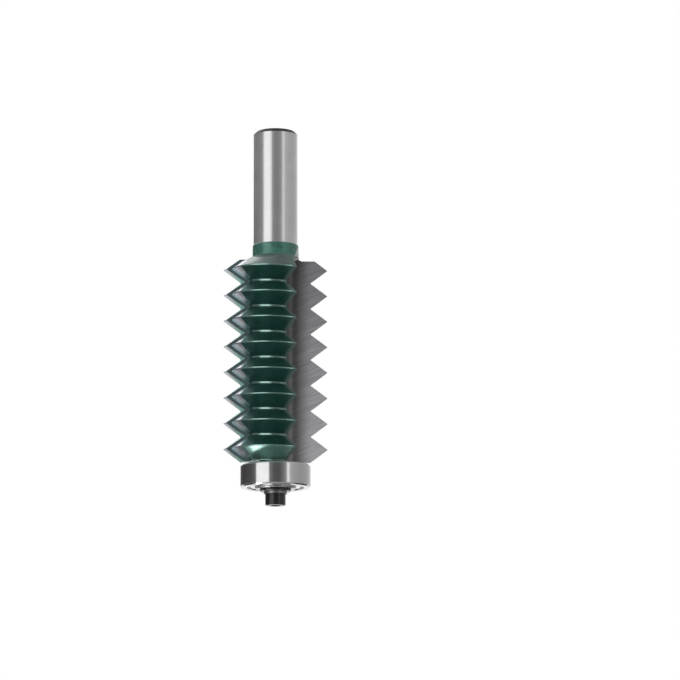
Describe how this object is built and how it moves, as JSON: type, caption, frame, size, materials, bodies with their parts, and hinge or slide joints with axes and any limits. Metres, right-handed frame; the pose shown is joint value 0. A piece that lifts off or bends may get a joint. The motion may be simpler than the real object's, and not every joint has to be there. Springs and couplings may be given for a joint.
{
  "type": "router bit",
  "caption": "Straight two-wing router bit with a stepped V-tooth edge, a round shank and a ball-bearing guide at the tip.",
  "frame": {"origin": "on the bit's axis at the lower end of the bare shank, where the painted neck starts", "axes": "+Z along the axis towards the shank's end, +X from the axis towards the right wing's edge, -Y the side that the right wing's rake face looks at"},
  "size_m": [0.028, 0.019, 0.1026],
  "materials": {
    "body_paint": "glossy dark green paint on the neck and backs; bare ground steel on shank and gullets",
    "carbide": "ground, fine slanting lines",
    "bearing_steel": "polished",
    "shield_steel": "satin",
    "cage_steel": "satin",
    "ball_steel": "mirror",
    "spacer_steel": "turned",
    "spring_steel": "satin",
    "black_oxide": "black oxide, semi-gloss"
  },
  "bodies": {
    "cutter": {"cutter_body": "body_paint", "carbide_tip_1": "carbide", "carbide_tip_2": "carbide", "bearing_inner_ring": "bearing_steel", "spacer_ring": "spacer_steel", "washer": "black_oxide", "lock_washer": "spring_steel", "cap_screw": "black_oxide"},
    "outer_ring": {"bearing_outer_ring": "bearing_steel", "shield_upper": "shield_steel", "shield_lower": "shield_steel"},
    "cage": {"cage_upper": "cage_steel", "cage_lower": "cage_steel", "cage_rivets": "cage_steel", "ball_1": "ball_steel", "ball_2": "ball_steel", "ball_3": "ball_steel", "ball_4": "ball_steel", "ball_5": "ball_steel", "ball_6": "ball_steel", "ball_7": "ball_steel"}
  },
  "joints": [
    {"name": "bearing_spin", "type": "hinge", "parent": "cutter", "child": "outer_ring", "pos_m": [0, 0, -0.0632], "axis": [0, 0, 1], "continuous": true},
    {"name": "cage_spin", "type": "hinge", "parent": "cutter", "child": "cage", "pos_m": [0, 0, -0.0632], "axis": [0, 0, 1], "continuous": true}
  ],
  "couplings": [
    {"joint": "cage_spin", "follows": "bearing_spin", "ratio": 0.635}
  ]
}
